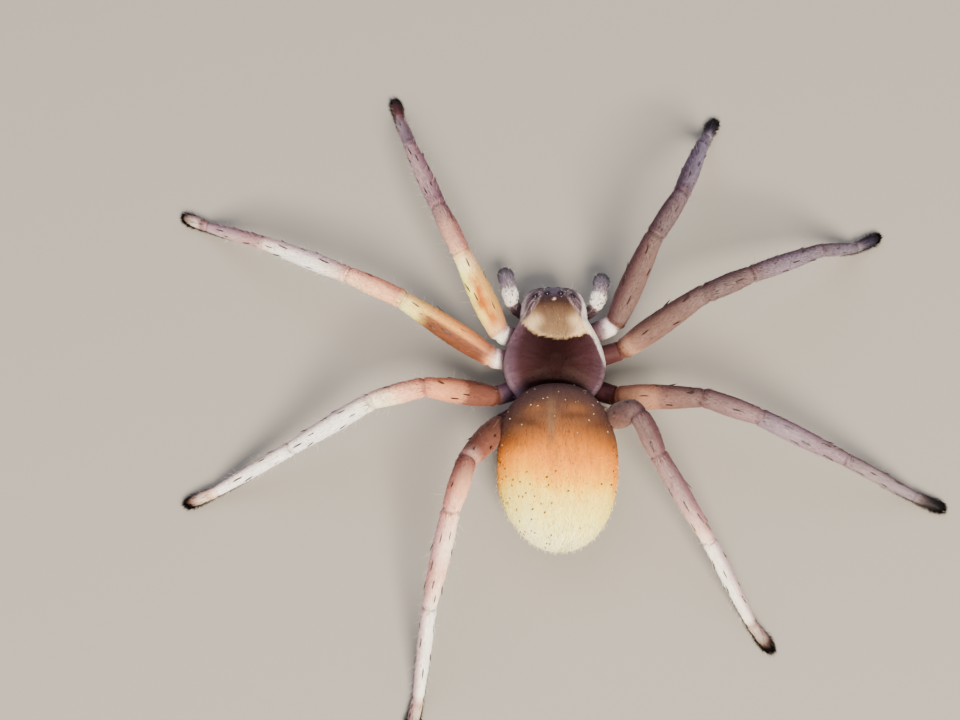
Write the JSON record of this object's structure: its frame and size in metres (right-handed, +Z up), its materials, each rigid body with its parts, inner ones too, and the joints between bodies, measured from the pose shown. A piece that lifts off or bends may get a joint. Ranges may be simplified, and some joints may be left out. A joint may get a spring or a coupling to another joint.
{
  "type": "dancing white lady spider",
  "caption": "Life-size still model of a pale desert huntsman spider with a large egg-shaped abdomen, standing alert with its legs spread wide.",
  "frame": {"origin": "middle of the object's box, on the plane the feet stand on", "axes": "+Z up, +Y the way the head points, +X to the spider's right"},
  "size_m": [0.0956, 0.0844, 0.0174],
  "materials": {
    "skin": "velvety, short fine hair over shell that is cream, tan, mauve and plum by place",
    "fang": "polished, black shell",
    "eye": "polished, black lens"
  },
  "bodies": {
    "root": {"cephalothorax": "skin", "sternum": "skin", "pedicel": "skin", "abdomen": "skin", "spinnerets": "skin", "chelicera_left": "skin", "chelicera_right": "skin", "fang_left": "fang", "fang_right": "fang", "pedipalp_left": "skin", "pedipalp_right": "skin", "eye_front_middle_left": "eye", "eye_front_middle_right": "eye", "eye_front_outer_left": "eye", "eye_front_outer_right": "eye", "eye_rear_middle_left": "eye", "eye_rear_middle_right": "eye", "eye_rear_outer_left": "eye", "eye_rear_outer_right": "eye", "leg_1_left_coxa": "skin", "leg_1_left_femur": "skin", "leg_1_left_patella": "skin", "leg_1_left_tibia": "skin", "leg_1_left_metatarsus": "skin", "leg_1_right_coxa": "skin", "leg_1_right_femur": "skin", "leg_1_right_patella": "skin", "leg_1_right_tibia": "skin", "leg_1_right_metatarsus": "skin", "leg_2_left_coxa": "skin", "leg_2_left_femur": "skin", "leg_2_left_patella": "skin", "leg_2_left_tibia": "skin", "leg_2_left_metatarsus": "skin", "leg_2_right_coxa": "skin", "leg_2_right_femur": "skin", "leg_2_right_patella": "skin", "leg_2_right_tibia": "skin", "leg_2_right_metatarsus": "skin", "leg_3_left_coxa": "skin", "leg_3_left_femur": "skin", "leg_3_left_patella": "skin", "leg_3_left_tibia": "skin", "leg_3_left_metatarsus": "skin", "leg_3_right_coxa": "skin", "leg_3_right_femur": "skin", "leg_3_right_patella": "skin", "leg_3_right_tibia": "skin", "leg_3_right_metatarsus": "skin", "leg_4_left_coxa": "skin", "leg_4_left_femur": "skin", "leg_4_left_patella": "skin", "leg_4_left_tibia": "skin", "leg_4_left_metatarsus": "skin", "leg_4_right_coxa": "skin", "leg_4_right_femur": "skin", "leg_4_right_patella": "skin", "leg_4_right_tibia": "skin", "leg_4_right_metatarsus": "skin"}
  },
  "joints": []
}
